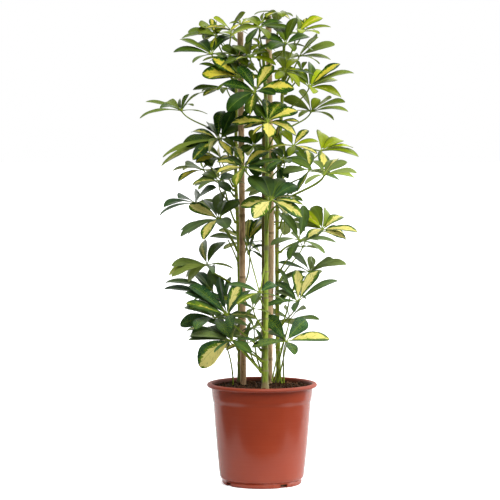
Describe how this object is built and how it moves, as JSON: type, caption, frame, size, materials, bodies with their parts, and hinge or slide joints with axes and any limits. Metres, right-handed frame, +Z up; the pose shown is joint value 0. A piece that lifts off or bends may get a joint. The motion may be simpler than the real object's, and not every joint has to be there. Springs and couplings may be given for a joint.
{
  "type": "potted dwarf umbrella tree",
  "caption": "Variegated dwarf umbrella tree in a terracotta coloured nursery pot, its stems held up by canes, with palmate green and cream leaves.",
  "frame": {"origin": "centre of the pot's flat underside", "axes": "+Z up along the pot's axis, +X to the right and -Y towards the viewer of the picture"},
  "size_m": [0.4854, 0.4567, 1.0349],
  "materials": {
    "pot": "injection moulded, semi-gloss",
    "soil": "coarse fibrous potting mix",
    "stem": "green bark with leaf scars",
    "cane": "dry cane with darker mottling",
    "tie": "dark binding",
    "leaf": "glossy leathery leaf, green with cream and yellow centre"
  },
  "bodies": {
    "root": {"pot": "pot", "soil": "soil", "stem_front": "stem", "stem_left": "stem", "stem_right": "stem", "cane_left": "cane", "cane_middle": "cane", "cane_right": "cane", "tie": "tie", "leaf_front_01": "leaf", "leaf_front_02": "leaf", "leaf_front_03": "leaf", "leaf_front_04": "leaf", "leaf_front_05": "leaf", "leaf_front_06": "leaf", "leaf_front_07": "leaf", "leaf_front_08": "leaf", "leaf_front_09": "leaf", "leaf_front_10": "leaf", "leaf_front_11": "leaf", "leaf_front_12": "leaf", "leaf_front_13": "leaf", "leaf_front_14": "leaf", "leaf_front_15": "leaf", "leaf_front_16": "leaf", "leaf_left_01": "leaf", "leaf_left_02": "leaf", "leaf_left_03": "leaf", "leaf_left_04": "leaf", "leaf_left_05": "leaf", "leaf_left_06": "leaf", "leaf_left_07": "leaf", "leaf_left_08": "leaf", "leaf_left_09": "leaf", "leaf_left_10": "leaf", "leaf_left_11": "leaf", "leaf_left_16": "leaf", "leaf_left_12": "leaf", "leaf_left_13": "leaf", "leaf_left_14": "leaf", "leaf_left_15": "leaf", "leaf_right_01": "leaf", "leaf_right_02": "leaf", "leaf_right_03": "leaf", "leaf_right_04": "leaf", "leaf_right_05": "leaf", "leaf_right_06": "leaf", "leaf_right_07": "leaf", "leaf_right_08": "leaf", "leaf_right_09": "leaf", "leaf_right_10": "leaf", "leaf_right_11": "leaf", "leaf_right_12": "leaf", "leaf_right_13": "leaf", "leaf_right_14": "leaf", "leaf_right_15": "leaf", "leaf_right_16": "leaf", "leaf_back_01": "leaf", "leaf_back_02": "leaf", "leaf_back_03": "leaf"}
  },
  "joints": []
}
